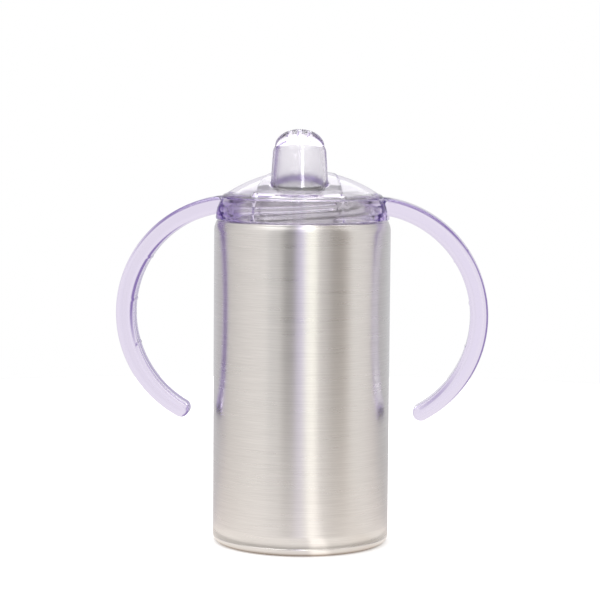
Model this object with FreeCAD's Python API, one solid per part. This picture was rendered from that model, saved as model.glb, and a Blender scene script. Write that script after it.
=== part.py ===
import FreeCAD, Part
import math
import os

# A child's training cup: a double-walled steel cup, a clear screw lid with a spout, and a clear
# ring with two C-shaped handles that the lid carries.
#
# Frame: the origin is the centre of the base, on the surface that the cup stands on. +Z is up,
# the spout is in front, towards -Y, and the handles lie along X. All sizes are in millimetres.

V = FreeCAD.Vector
AXIS_Z = V(0, 0, 1)

# ---- driving dimensions: cup ----
BODY_R = 36.5               # outer radius of the steel body
SHEET = 0.6                 # steel sheet
SHOULDER_Z = 134.0          # flat shoulder on which the lid's ring sits
TAPER = 4.6                 # height of the soft taper under the shoulder
TAPER_R = 35.7              # radius at the top of the taper
SHOULDER_ROUND = 0.9        # rounded edge of the shoulder
NECK_R = 28.5               # outer radius of the threaded neck, at the thread's root
LIP_Z = 141.0               # top of the cup's lip
BASE_ROUND = 3.2            # rounded edge of the base
STAND_IN_R = 29.6           # inner radius of the ring on which the cup stands
RECESS_Z = 1.8              # depth of the recess under the base
VACUUM_GAP = 3.2            # between the outer wall and the liner
NECK_GAP = 0.6              # the same gap inside the neck
LINER_FLOOR_Z = 5.6         # underside of the liner
LINER_ROUND = 4.4           # rounded edge of the liner's floor

# ---- driving dimensions: screw thread ----
LEAD = 9.0                  # rise in one full turn, two starts
STARTS = 2
THREAD_Z = 135.3            # lowest centre line of the neck's ridges
THREAD_DEPTH = 1.0
THREAD_TURN = 0.5           # length of each ridge in turns
THREAD_START_DEG = 20.0     # where the neck's first ridge starts, round from +X

# ---- driving dimensions: lid ----
GAP = 0.3                   # clearance between pieces that turn or slide on each other
SKIRT_IN_R = 29.9
SKIRT_OUT_R = 31.1
SKIRT_Z = 134.5             # lower edge of the skirt
FLANGE_R = 33.2
FLANGE_Z = 143.3            # underside of the flange, over the handle ring
DOME_EDGE_R = 31.4
DOME_R = 56.0               # radius of the dome's sphere
DOME_TOP_Z = 154.6
DOME_WALL = 1.8
SEAT_R = 29.3               # where the inside of the dome turns down into the skirt
SEAT_Z = 143.6
PLATFORM_R = 62.7           # the raised front platform is flatter than the dome
PLATFORM_TOP_Z = 154.8
PLATFORM_EDGE_R = 31.0
PLATFORM_FRONT_R = 33.3
PLATFORM_FRONT_HALF = 19.4  # half width where it meets the flange
PLATFORM_BACK_HALF = 12.9
PLATFORM_BACK_Y = 6.0       # behind this its end is round
PLATFORM_END_Y = 16.0
LUGS = 10                   # snap lugs on the skirt that carry the handle ring
LUG_R = 31.9
LUG_HOOK_R = 32.7
LUG_WIDTH = 2.6
LUG_TOP_Z = 142.3
HOOK_Z = 135.5              # top of each lug's hook

# ---- driving dimensions: spout ----
SPOUT_Y = -21.5
SPOUT_TOP_Z = 171.8
SPOUT_STEP_Z = 165.0        # here the tip starts, a little narrower
SPOUT_FOOT_Z = 149.6
SPOUT_FOOT = (11.6, 7.6)    # half width and half depth at the foot
SPOUT_NECK = (10.3, 6.6)    # the same just under the step
SPOUT_TIP = (9.9, 6.2)      # the same just over the step
SPOUT_WALL = 1.7
SPOUT_TIP_WALL = 3.4        # thick tip, which the drinking holes pass through
DRINK_HOLE_R = 0.9
DRINK_HOLES_X = (-3.7, 0.0, 3.7)

# ---- driving dimensions: handle ring ----
RING_Z = 134.3
RING_TOP_Z = 143.1
RING_IN_R = 32.2
RING_FOOT_R = 35.9
RING_TOP_R = 33.6
RING_BULGE = 0.45
HOOK_POCKET_R = 33.1        # recess in the ring's foot for the lugs' hooks
HOOK_POCKET_Z = 135.9
ARM_X = 27.6                # centre of each handle's arc
ARM_Z = 94.9
ARM_R = 45.75               # radius of the handle's centre line
ARM_ROOT_THICK = 7.1        # in the plane of the handle, where it leaves the ring
ARM_THICK = 7.5             # half way round
ARM_TIP_THICK = 6.4
ARM_DEPTH = 13.5            # across that plane
ARM_ROUND = 2.4
ARM_ROOT_DEG = 86.0
ARM_TIP_DEG = -61.0

# ---- driving dimensions: gasket, vacuum port and getter ----
GASKET_Z = 141.15
GASKET_IN_R = 26.6
GASKET_OUT_R = 29.6
COVER_R = 28.2
PORT_R = 0.8
DIMPLE_R = 5.0
DIMPLE_RISE = 1.0
BEAD_R = 2.4
GETTER_X = 14.0
GETTER_R = 4.2
GETTER_THICK = 1.2
HOLDER_R = 4.8
HOLDER_TOP = 1.9
HOLDER_SHEET = 0.3


# ---------------------------------------------------------------- shape helpers
def at(point):
    """A point of a profile, given as radius and height, in the XZ plane."""
    return V(point[0], 0, point[1])


def face_from(start, *steps):
    """Closed face: each step is an end point, or (middle, end) for an arc."""
    edges = []
    here = start
    for step in steps + (start,):
        if isinstance(step[0], tuple):
            middle, end = step
            edges.append(Part.Arc(at(here), at(middle), at(end)).toShape())
        else:
            end = step
            edges.append(Part.LineSegment(at(here), at(end)).toShape())
        here = end
    return Part.Face(Part.Wire(edges))


def turned(start, *steps):
    """Solid made by turning a profile about the cup's axis."""
    return face_from(start, *steps).revolve(V(0, 0, 0), AXIS_Z, 360)


def cylinder(radius, low, high, x=0.0, y=0.0):
    return Part.makeCylinder(radius, high - low, V(x, y, low), AXIS_Z)


def on_arc(centre, radius, degrees):
    angle = math.radians(degrees)
    return (centre[0] + radius * math.cos(angle), centre[1] + radius * math.sin(angle))


def sphere_z(top_z, radius, r):
    """Height of a sphere's surface at distance r from the axis."""
    return top_z - radius + math.sqrt(radius * radius - r * r)


def dome_arc(top_z, radius, r_from, r_to):
    """Middle and end points of an arc along a dome, from one radius to another."""
    middle = (r_from + r_to) / 2
    return ((middle, sphere_z(top_z, radius, middle)), (r_to, sphere_z(top_z, radius, r_to)))


def ridges(base_r, crest_r, base_width, crest_width, low_z, start_deg):
    """The helical ridges of one thread, one for each start, as separate solids."""
    made = []
    helix = Part.makeHelix(LEAD, LEAD * THREAD_TURN, base_r)
    section = face_from(
        (base_r, -base_width / 2),
        (crest_r, -crest_width / 2),
        (crest_r, crest_width / 2),
        (base_r, base_width / 2),
    )
    ridge = Part.Wire(helix).makePipeShell([section.OuterWire], True, True)
    for start in range(STARTS):
        turned_ridge = ridge.copy()
        turned_ridge.rotate(V(0, 0, 0), AXIS_Z, start_deg + start * 360.0 / STARTS)
        turned_ridge.translate(V(0, 0, low_z))
        made.append(turned_ridge)
    return made


def save(name, shape):
    shape = shape.removeSplitter()
    if len(shape.Solids) == 1:
        shape = shape.Solids[0]
    print("%-14s solids %d valid %s volume %.1f" % (
        name, len(shape.Solids), shape.isValid(), shape.Volume))
    shape.exportStep(os.path.join("parts", name + ".step"))


# ---------------------------------------------------------------- cup
def outer_shell():
    """Outer wall with its soft taper, shoulder and threaded neck."""
    inner_r = BODY_R - SHEET
    neck_in_r = NECK_R - SHEET
    lip_in_r = neck_in_r - NECK_GAP
    round_r = SHOULDER_ROUND
    corner = (TAPER_R - round_r, SHOULDER_Z - round_r)
    shell = turned(
        (BODY_R, BASE_ROUND),
        (BODY_R, SHOULDER_Z - TAPER),
        ((BODY_R - 0.25, SHOULDER_Z - TAPER / 2), (TAPER_R, SHOULDER_Z - round_r)),
        (on_arc(corner, round_r, 45), (corner[0], SHOULDER_Z)),
        (NECK_R, SHOULDER_Z),
        (NECK_R, LIP_Z - SHEET / 2),
        ((NECK_R - 0.09, LIP_Z - 0.09), (NECK_R - SHEET / 2, LIP_Z)),
        (lip_in_r, LIP_Z),
        (lip_in_r, LIP_Z - SHEET),
        (neck_in_r, LIP_Z - SHEET),
        (neck_in_r, SHOULDER_Z - SHEET),
        (TAPER_R - round_r, SHOULDER_Z - SHEET),
        (TAPER_R - SHEET, SHOULDER_Z - round_r),
        (inner_r, SHOULDER_Z - TAPER),
        (inner_r, BASE_ROUND),
    )
    thread = ridges(NECK_R - SHEET / 2, NECK_R + THREAD_DEPTH, 2.2, 0.9, THREAD_Z, THREAD_START_DEG)
    return shell.fuse(thread)


def outer_base():
    """Pressed bottom: rounded edge, standing ring, recess and dimpled vacuum port."""
    corner = (BODY_R - BASE_ROUND, BASE_ROUND)
    inner_round = BASE_ROUND - SHEET
    plate_z = RECESS_Z + SHEET
    return turned(
        (BODY_R, BASE_ROUND),
        (on_arc(corner, BASE_ROUND, -45), (corner[0], 0)),
        (STAND_IN_R, 0),
        (STAND_IN_R - 0.7, RECESS_Z),
        (DIMPLE_R, RECESS_Z),
        (DIMPLE_R - 1.4, RECESS_Z + DIMPLE_RISE),
        (PORT_R, RECESS_Z + DIMPLE_RISE),
        (PORT_R, plate_z + DIMPLE_RISE),
        (DIMPLE_R - 1.6, plate_z + DIMPLE_RISE),
        (DIMPLE_R - 0.2, plate_z),
        (STAND_IN_R - 0.3, plate_z),
        (STAND_IN_R + 0.3, SHEET),
        (corner[0], SHEET),
        (on_arc(corner, inner_round, -45), (BODY_R - SHEET, BASE_ROUND)),
    )


def base_cover():
    """Thin disc fixed in the recess, over the sealed port."""
    return cylinder(COVER_R, RECESS_Z - SHEET, RECESS_Z)


def seal_bead():
    """Glass bead in the port, with a plug through its hole."""
    seat_z = RECESS_Z + DIMPLE_RISE
    return turned(
        (0, seat_z - 0.8),
        ((BEAD_R * 0.75, seat_z - 0.6), (BEAD_R, seat_z)),
        (PORT_R, seat_z),
        (PORT_R, seat_z + SHEET),
        (0, seat_z + SHEET),
    )


def getter():
    """Pellet that takes up stray gas in the vacuum wall."""
    plate_z = RECESS_Z + SHEET
    return cylinder(GETTER_R, plate_z, plate_z + GETTER_THICK, x=GETTER_X)


def getter_holder():
    """Cap that holds the getter on the base's inner face."""
    plate_z = RECESS_Z + SHEET
    cap = cylinder(HOLDER_R, plate_z, plate_z + HOLDER_TOP, x=GETTER_X)
    room = cylinder(HOLDER_R - HOLDER_SHEET, plate_z, plate_z + HOLDER_TOP - HOLDER_SHEET, x=GETTER_X)
    return cap.cut(room)


def liner_radii():
    """Outer radii of the liner: in the neck and in the body."""
    return NECK_R - SHEET - NECK_GAP, BODY_R - SHEET - VACUUM_GAP


def inner_liner():
    """Inner wall, necked in under the shoulder and open at both ends."""
    neck_r, body_r = liner_radii()
    bend_z = SHOULDER_Z - SHEET - 1.6
    bend_low_z = bend_z - 3.4
    weld_z = LINER_FLOOR_Z + LINER_ROUND
    return turned(
        (body_r, weld_z),
        (body_r, bend_low_z),
        ((body_r - 1.4, bend_z - 0.7), (neck_r + 1.0, bend_z)),
        (neck_r, bend_z + 0.6),
        (neck_r, LIP_Z),
        (neck_r - SHEET, LIP_Z),
        (neck_r - SHEET, bend_z + 0.2),
        (neck_r + 0.4, bend_z - 0.7),
        ((body_r - 1.9, bend_z - 1.5), (body_r - SHEET, bend_low_z)),
        (body_r - SHEET, weld_z),
    )


def inner_base():
    """Bottom of the liner, a shallow dish with a rounded edge."""
    body_r = liner_radii()[1]
    corner = (body_r - LINER_ROUND, LINER_FLOOR_Z + LINER_ROUND)
    return turned(
        (body_r, corner[1]),
        (on_arc(corner, LINER_ROUND, -45), (corner[0], LINER_FLOOR_Z)),
        (0, LINER_FLOOR_Z),
        (0, LINER_FLOOR_Z + SHEET),
        (corner[0], LINER_FLOOR_Z + SHEET),
        (on_arc(corner, LINER_ROUND - SHEET, -45), (body_r - SHEET, corner[1])),
    )


# ---------------------------------------------------------------- lid
def lid_body():
    """Skirt, flange and dome as one even wall, without spout or thread."""
    inner_r = DOME_R - DOME_WALL
    inner_top = DOME_TOP_Z - DOME_WALL
    edge_z = sphere_z(DOME_TOP_Z, DOME_R, DOME_EDGE_R)
    return turned(
        (SKIRT_IN_R, SKIRT_Z),
        (SKIRT_OUT_R, SKIRT_Z),
        (SKIRT_OUT_R, FLANGE_Z),
        (FLANGE_R, FLANGE_Z),
        ((FLANGE_R - 0.5, FLANGE_Z + 1.15), (DOME_EDGE_R, edge_z)),
        dome_arc(DOME_TOP_Z, DOME_R, DOME_EDGE_R, 0),
        (0, inner_top),
        dome_arc(inner_top, inner_r, 0, SEAT_R),
        (SKIRT_IN_R, SEAT_Z),
    )


def platform():
    """Raised front region of the dome, with converging sides and a rounded front edge."""
    skin = turned(
        (0, DOME_TOP_Z - 1.0),
        dome_arc(DOME_TOP_Z - 1.0, DOME_R, 0, PLATFORM_EDGE_R),
        (PLATFORM_EDGE_R, FLANGE_Z),
        (PLATFORM_FRONT_R, FLANGE_Z),
        (
            (PLATFORM_FRONT_R - 0.7, FLANGE_Z + 2.0),
            (PLATFORM_EDGE_R, sphere_z(PLATFORM_TOP_Z, PLATFORM_R, PLATFORM_EDGE_R)),
        ),
        dome_arc(PLATFORM_TOP_Z, PLATFORM_R, PLATFORM_EDGE_R, 0),
    )
    front_y = -PLATFORM_FRONT_R - 3
    corners = [
        V(-PLATFORM_FRONT_HALF, front_y, 0),
        V(PLATFORM_FRONT_HALF, front_y, 0),
        V(PLATFORM_BACK_HALF, PLATFORM_BACK_Y, 0),
        V(-PLATFORM_BACK_HALF, PLATFORM_BACK_Y, 0),
    ]
    outline = [
        Part.LineSegment(corners[3], corners[0]).toShape(),
        Part.LineSegment(corners[0], corners[1]).toShape(),
        Part.LineSegment(corners[1], corners[2]).toShape(),
        Part.Arc(corners[2], V(0, PLATFORM_END_Y, 0), corners[3]).toShape(),
    ]
    wedge = Part.Face(Part.Wire(outline)).extrude(V(0, 0, SPOUT_TOP_Z))
    return skin.common(wedge)


def oval(half_width, half_depth, z):
    ellipse = Part.Ellipse(V(0, SPOUT_Y, z), half_width, half_depth)
    return Part.Wire([ellipse.toShape()])


def oval_dome(half_width, half_depth, low_z, top_z):
    """Upper half of an ellipsoid that stands on the oval at low_z."""
    half_ball = Part.makeSphere(1.0, V(0, 0, 0), AXIS_Z, 0, 90, 360)
    stretch = FreeCAD.Matrix()
    stretch.scale(V(half_width, half_depth, top_z - low_z))
    stretch.move(V(0, SPOUT_Y, low_z))
    return half_ball.transformGeometry(stretch)


def spout_outside():
    """Oval spout with a slightly narrower domed tip."""
    body = Part.makeLoft([
        oval(SPOUT_FOOT[0], SPOUT_FOOT[1], SPOUT_FOOT_Z - 4),
        oval(SPOUT_FOOT[0], SPOUT_FOOT[1], SPOUT_FOOT_Z),
        oval(SPOUT_NECK[0] + 0.15, SPOUT_NECK[1] + 0.15, SPOUT_STEP_Z - 1),
        oval(SPOUT_NECK[0] - 0.25, SPOUT_NECK[1] - 0.25, SPOUT_STEP_Z),
    ], True, True)
    return body.fuse(oval_dome(SPOUT_TIP[0], SPOUT_TIP[1], SPOUT_STEP_Z, SPOUT_TOP_Z))


def spout_inside(low_z):
    """Channel inside the spout, open into the dome and closed under the tip."""
    high_z = SPOUT_STEP_Z - 1
    foot = (SPOUT_FOOT[0] - SPOUT_WALL, SPOUT_FOOT[1] - SPOUT_WALL)
    top = (SPOUT_NECK[0] - SPOUT_WALL, SPOUT_NECK[1] - SPOUT_WALL)
    body = Part.makeLoft([
        oval(foot[0], foot[1], low_z),
        oval(foot[0], foot[1], SPOUT_FOOT_Z),
        oval(top[0], top[1], high_z),
    ], True, True)
    return body.fuse(oval_dome(top[0], top[1], high_z, SPOUT_TOP_Z - SPOUT_TIP_WALL))


def snap_lugs():
    """Upright lugs round the skirt; each has a hook under the handle ring."""
    made = []
    root = SKIRT_OUT_R - GAP
    section = face_from(
        (root, SKIRT_Z),
        (LUG_R, SKIRT_Z),
        (LUG_HOOK_R, SKIRT_Z + 0.5),
        (LUG_HOOK_R, HOOK_Z),
        (LUG_R, HOOK_Z + 0.2),
        (LUG_R, LUG_TOP_Z),
        (root, LUG_TOP_Z + 0.6),
    )
    lug = section.extrude(V(0, LUG_WIDTH, 0))
    lug.translate(V(0, -LUG_WIDTH / 2, 0))
    for index in range(LUGS):
        turned_lug = lug.copy()
        turned_lug.rotate(V(0, 0, 0), AXIS_Z, -90 + index * 360.0 / LUGS)
        made.append(turned_lug)
    return made


def lid():
    """The whole clear moulding."""
    inner_dome = turned(
        (0, SKIRT_Z),
        (0, DOME_TOP_Z - DOME_WALL),
        dome_arc(DOME_TOP_Z - DOME_WALL, DOME_R - DOME_WALL, 0, SEAT_R),
        (SEAT_R, SKIRT_Z),
    )
    spout = spout_outside().cut(inner_dome)
    shape = lid_body().fuse([platform(), spout])
    shape = shape.cut(spout_inside(SPOUT_FOOT_Z - 6))
    for x in DRINK_HOLES_X:
        shape = shape.cut(cylinder(DRINK_HOLE_R, SPOUT_STEP_Z, SPOUT_TOP_Z + 1, x, SPOUT_Y))
    lift = 0.2
    half_pitch_deg = 360.0 / STARTS / 2
    start_deg = THREAD_START_DEG + half_pitch_deg + 360.0 * lift / LEAD
    thread = ridges(SKIRT_IN_R + 0.3, SKIRT_IN_R - THREAD_DEPTH, 1.8, 0.7, THREAD_Z + lift, start_deg)
    return shape.fuse(snap_lugs() + thread)


def lip_gasket():
    """Silicone ring that fills the corner under the dome and seals on the cup's lip."""
    gap = 0.05
    top = DOME_TOP_Z - DOME_WALL - gap
    radius = DOME_R - DOME_WALL
    shoulder = SEAT_R - gap
    return turned(
        (GASKET_IN_R, GASKET_Z + 0.4),
        (GASKET_IN_R + 0.4, GASKET_Z),
        ((GASKET_IN_R + GASKET_OUT_R) / 2 + 0.7, GASKET_Z),
        (GASKET_OUT_R, GASKET_Z + 0.6),
        (GASKET_OUT_R, SEAT_Z),
        (shoulder, sphere_z(top, radius, shoulder)),
        dome_arc(top, radius, shoulder, GASKET_IN_R),
    )


def collar():
    """Conical ring round the lid's skirt, with a pocket in its foot for the hooks."""
    half_z = (RING_Z + RING_TOP_Z) / 2
    half_r = (RING_FOOT_R + RING_TOP_R) / 2 + RING_BULGE
    return turned(
        (HOOK_POCKET_R, RING_Z),
        (RING_FOOT_R - 0.4, RING_Z),
        ((RING_FOOT_R - 0.1, RING_Z + 0.1), (RING_FOOT_R, RING_Z + 0.4)),
        ((half_r, half_z), (RING_TOP_R, RING_TOP_Z)),
        (RING_IN_R, RING_TOP_Z),
        (RING_IN_R, HOOK_POCKET_Z + 0.6),
        (HOOK_POCKET_R, HOOK_POCKET_Z),
    )


def arm():
    """The right-hand C handle: an arc, thickest half way round, with a rounded tip."""
    centre = (ARM_X, ARM_Z)
    middle_deg = (ARM_ROOT_DEG + ARM_TIP_DEG) / 2
    tip = on_arc(centre, ARM_R, ARM_TIP_DEG)

    def outer(degrees, thick):
        return on_arc(centre, ARM_R + thick / 2, degrees)

    def inner(degrees, thick):
        return on_arc(centre, ARM_R - thick / 2, degrees)

    outline = face_from(
        outer(ARM_ROOT_DEG, ARM_ROOT_THICK),
        (outer(middle_deg, ARM_THICK), outer(ARM_TIP_DEG, ARM_TIP_THICK)),
        (on_arc(tip, ARM_TIP_THICK / 2, ARM_TIP_DEG - 90), inner(ARM_TIP_DEG, ARM_TIP_THICK)),
        (inner(middle_deg, ARM_THICK), inner(ARM_ROOT_DEG, ARM_ROOT_THICK)),
    )
    solid = outline.extrude(V(0, ARM_DEPTH, 0))
    solid.translate(V(0, -ARM_DEPTH / 2, 0))
    rims = []
    for edge in solid.Edges:
        box = edge.BoundBox
        if box.YLength < 1e-6 and edge.Curve.TypeId == "Part::GeomCircle":
            rims.append(edge)
    return solid.makeFillet(ARM_ROUND, rims)


def handle_ring():
    """Collar and both handles, one moulding."""
    right = arm()
    left = right.mirror(V(0, 0, 0), V(1, 0, 0))
    core = cylinder(RING_TOP_R - 0.05, 0, SPOUT_TOP_Z)
    return collar().fuse([right.cut(core), left.cut(core)])


# ---------------------------------------------------------------- write every node
os.makedirs("parts", exist_ok=True)
for make in (
    outer_shell, outer_base, base_cover, seal_bead, getter, getter_holder,
    inner_liner, inner_base, lid, lip_gasket, handle_ring,
):
    save(make.__name__, make())
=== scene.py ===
import math

import bmesh
import bpy
import numpy as np
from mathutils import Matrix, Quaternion, Vector


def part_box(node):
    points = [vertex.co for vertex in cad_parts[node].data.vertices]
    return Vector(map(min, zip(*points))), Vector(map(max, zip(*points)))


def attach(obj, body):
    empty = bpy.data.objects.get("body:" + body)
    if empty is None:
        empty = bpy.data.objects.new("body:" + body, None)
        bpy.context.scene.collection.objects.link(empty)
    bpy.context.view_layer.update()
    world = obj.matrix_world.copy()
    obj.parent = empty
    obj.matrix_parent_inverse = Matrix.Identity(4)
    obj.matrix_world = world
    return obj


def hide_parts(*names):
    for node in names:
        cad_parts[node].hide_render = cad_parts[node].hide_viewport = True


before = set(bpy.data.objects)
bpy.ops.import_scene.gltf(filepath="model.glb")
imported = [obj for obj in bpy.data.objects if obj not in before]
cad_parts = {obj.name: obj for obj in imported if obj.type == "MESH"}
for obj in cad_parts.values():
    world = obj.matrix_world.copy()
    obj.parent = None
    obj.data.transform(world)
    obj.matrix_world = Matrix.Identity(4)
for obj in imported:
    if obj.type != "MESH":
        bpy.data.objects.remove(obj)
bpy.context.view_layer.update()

# A child's steel training cup with a clear lilac screw lid, a spout and two C handles.
# Everything is in metres, in the CAD frame: +Z up, the spout towards -Y, the handles along X.
# Lengths of the object are written in millimetres times MM.

MM = 0.001
SHELL_LOW, SHELL_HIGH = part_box("outer_shell")
LID_LOW, LID_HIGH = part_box("lid")
LINER_LOW, LINER_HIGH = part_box("inner_liner")
GASKET_LOW, GASKET_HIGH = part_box("lip_gasket")
COVER_LOW, COVER_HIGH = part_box("base_cover")

QUARTER = math.radians(90)
HALF_ROOT = math.sqrt(0.5)          # cosine and sine of 45 degrees

AROUND = 576                        # divisions round the pieces that are seen close to
AROUND_PLAIN = 256                  # and round the plain ones
AXIS_GAP = 0.02 * MM                # half width left open on the axis of a disc

# ---- cup ----
SHEET = 0.6 * MM
BODY_R = SHELL_HIGH.x
LIP_Z = SHELL_HIGH.z
SHOULDER_Z = LIP_Z - 7.0 * MM
TAPER = 4.6 * MM
TAPER_R = BODY_R - 0.8 * MM
SHOULDER_ROUND = 0.9 * MM
NECK_R = BODY_R - 8.0 * MM
BASE_ROUND = SHELL_LOW.z
STAND_IN_R = 29.6 * MM
RECESS_Z = COVER_HIGH.z
LINER_R = LINER_HIGH.x
LINER_NECK_R = NECK_R - 1.2 * MM
LINER_FLOOR_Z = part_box("inner_base")[0].z
LINER_ROUND = LINER_LOW.z - LINER_FLOOR_Z

# ---- screw thread: two starts, each half a turn long ----
LEAD = 9.0 * MM
THREAD_Z = 135.3 * MM
THREAD_DEPTH = 1.0 * MM
THREAD_TURN = 0.5
THREAD_START = math.radians(20)
THREAD_CREST = 0.35 * MM            # half the ridge's width, along Z, at its crest
THREAD_FOOT = 1.1 * MM              # and at its foot
THREAD_FADE = 0.012                 # share of a turn in which each end dies away
LID_THREAD_LIFT = 0.2 * MM

# ---- lid ----
SKIRT_IN_R = 29.9 * MM
SKIRT_OUT_R = 31.1 * MM
SKIRT_Z = LID_LOW.z
FLANGE_R = 33.2 * MM
FLANGE_Z = 143.3 * MM
DOME_EDGE_R = 31.4 * MM
DOME_R = 56.0 * MM
DOME_TOP_Z = 154.6 * MM
DOME_WALL = 1.8 * MM
SEAT_R = 29.3 * MM
SEAT_Z = 143.6 * MM
PLATFORM_R = 62.7 * MM
PLATFORM_TOP_Z = 154.8 * MM
PLATFORM_EDGE_R = 31.0 * MM
PLATFORM_FRONT_R = 33.3 * MM
PLATFORM_FRONT_HALF = 19.4 * MM
PLATFORM_BACK_HALF = 12.9 * MM
PLATFORM_FRONT_Y = -36.3 * MM
PLATFORM_BACK_Y = 6.0 * MM
PLATFORM_END_Y = 16.0 * MM
PLATFORM_SLOPE = (-0.02 * MM, 0.26 * MM)
LUGS = 10
LUG_OUT = 0.8 * MM
HOOK_OUT = 1.6 * MM
LUG_WIDTH = 2.6 * MM
LUG_TOP_Z = 142.3 * MM
HOOK_Z = 135.5 * MM

# ---- spout ----
SPOUT_Y = -21.5 * MM
SPOUT_TOP_Z = LID_HIGH.z
SPOUT_STEP_Z = 165.0 * MM
SPOUT_FOOT_Z = 149.6 * MM
SPOUT_SHOULDER_Z = 162.0 * MM
SPOUT_SHOULDER_HALF = 10.8 * MM
SPOUT_SHOULDER_IN = 0.95 * MM
SPOUT_SHOULDER_HEIGHT = 3.0 * MM
SPOUT_TAPER = 0.064
SPOUT_TIP_HALF = 9.9 * MM
SPOUT_FILLET = 0.9 * MM
SPOUT_TIP_WALL = 3.4 * MM
CHANNEL_FOOT = (9.9 * MM, 5.9 * MM)
CHANNEL_TOP = (8.6 * MM, 4.9 * MM)
CHANNEL_ROUND = 1.0 * MM
SPOUT_DEPTH_RATIO = 0.64
DRINK_HOLE_R = 0.9 * MM
DRINK_HOLES_X = (-3.7 * MM, 0.0, 3.7 * MM)

# ---- handles ----
RING_Z = 134.3 * MM
RING_TOP_Z = 143.1 * MM
RING_IN_R = 32.2 * MM
RING_FOOT_R = 35.9 * MM
RING_TOP_R = 33.6 * MM
RING_BULGE = 0.45 * MM
HOOK_POCKET_R = 33.1 * MM
HOOK_POCKET_Z = 135.9 * MM
ARM_X = 27.6 * MM
ARM_Z = 94.9 * MM
ARM_R = 45.75 * MM
ARM_ROOT_THICK = 7.1 * MM
ARM_THICK = 7.5 * MM
ARM_TIP_THICK = 6.4 * MM
ARM_DEPTH = 13.5 * MM
ARM_ROUND = 2.4 * MM
ARM_ROOT_DEG = 84.0
ARM_TIP_DEG = -61.0
ARM_MARKS_DEG = (33.0, 7.5, -17.5)  # faint raised bands round each handle
ARM_MARK_HEIGHT = 0.3 * MM
ARM_MARK_HALF_DEG = 0.6


# ---------------------------------------------------------------- mesh helpers
def angles(count=AROUND):
    return np.arange(count) * (2 * math.pi / count)


def grid_piece(name, rings, pole_first=False, pole_last=False, closed=False):
    """Mesh from rings of points, each an array (count, 3); poles close an end with a fan."""
    rings = [np.asarray(r, float) for r in rings]
    count = len(rings[0])
    points = np.concatenate(rings)
    faces = []
    turns = len(rings) if closed else len(rings) - 1
    for i in range(turns):
        low = i * count
        high = ((i + 1) % len(rings)) * count
        for k in range(count):
            n = (k + 1) % count
            faces.append((low + k, low + n, high + n, high + k))
    extra = []
    if pole_first:
        extra.append(rings[0].mean(0))
        pole = len(points)
        faces += [(pole, (k + 1) % count, k) for k in range(count)]
    if pole_last:
        extra.append(rings[-1].mean(0))
        pole = len(points) + len(extra) - 1
        base = (len(rings) - 1) * count
        faces += [(pole, base + k, base + (k + 1) % count) for k in range(count)]
    if extra:
        points = np.concatenate([points, np.array(extra)])
    mesh = bpy.data.meshes.new(name)
    mesh.from_pydata(points.tolist(), [], faces)
    return finish_mesh(name, mesh)


def finish_mesh(name, mesh):
    """Object with outward normals and smooth shading."""
    work = bmesh.new()
    work.from_mesh(mesh)
    bmesh.ops.recalc_face_normals(work, faces=work.faces)
    if work.calc_volume(signed=True) < 0:
        bmesh.ops.reverse_faces(work, faces=work.faces)
    work.to_mesh(mesh)
    work.free()
    mesh.shade_smooth()
    piece = bpy.data.objects.new(name, mesh)
    bpy.context.scene.collection.objects.link(piece)
    return piece


def arc_points(start, middle, end, count):
    """Points on the circle through three (r, z) points, without the start."""
    (ax, ay), (bx, by), (cx, cy) = start, middle, end
    d = 2 * (ax * (by - cy) + bx * (cy - ay) + cx * (ay - by))
    aa, bb, cc = ax**2 + ay**2, bx**2 + by**2, cx**2 + cy**2
    ux = (aa * (by - cy) + bb * (cy - ay) + cc * (ay - by)) / d
    uy = (aa * (cx - bx) + bb * (ax - cx) + cc * (bx - ax)) / d
    radius = math.hypot(ax - ux, ay - uy)
    a0 = math.atan2(ay - uy, ax - ux)
    am = math.atan2(by - uy, bx - ux)
    a1 = math.atan2(cy - uy, cx - ux)
    sweep = (a1 - a0) % (2 * math.pi)
    if (am - a0) % (2 * math.pi) > sweep:
        sweep -= 2 * math.pi
    steps = [a0 + sweep * (i + 1) / count for i in range(count)]
    return [(ux + radius * math.cos(a), uy + radius * math.sin(a)) for a in steps]


def softened(corners, radius, arc=5):
    """Closed profile of (r, z) corners with every corner rounded; radius may be one per corner."""
    made = []
    n = len(corners)
    radii = radius if isinstance(radius, (list, tuple)) else [radius] * n
    for i in range(n):
        p = Vector(corners[i])
        a = Vector(corners[i - 1]) - p
        b = Vector(corners[(i + 1) % n]) - p
        if radii[i] <= 0:
            made.append(tuple(p))
            continue
        half = a.angle(b) / 2
        reach = min(radii[i] / math.tan(half), a.length * 0.45, b.length * 0.45)
        start, end = p + a.normalized() * reach, p + b.normalized() * reach
        bisector = (a.normalized() + b.normalized()).normalized()
        r = reach * math.tan(half)
        middle = p + bisector * (r / math.sin(half) - r)
        made.append(tuple(start))
        made += arc_points(tuple(start), tuple(middle), tuple(end), arc)
    return made


def turned_rings(profile, count=AROUND):
    """Rings about the cup's axis, one for each (r, z) point."""
    a = angles(count)
    return [np.stack([r * np.cos(a), r * np.sin(a), np.full(count, z)], 1) for r, z in profile]


def turned_piece(name, profile, count=AROUND):
    return grid_piece(name, turned_rings(profile, count), closed=True)


def smoothstep(low, high, value):
    t = np.clip((value - low) / (high - low), 0, 1)
    return t * t * (3 - 2 * t)


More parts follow.
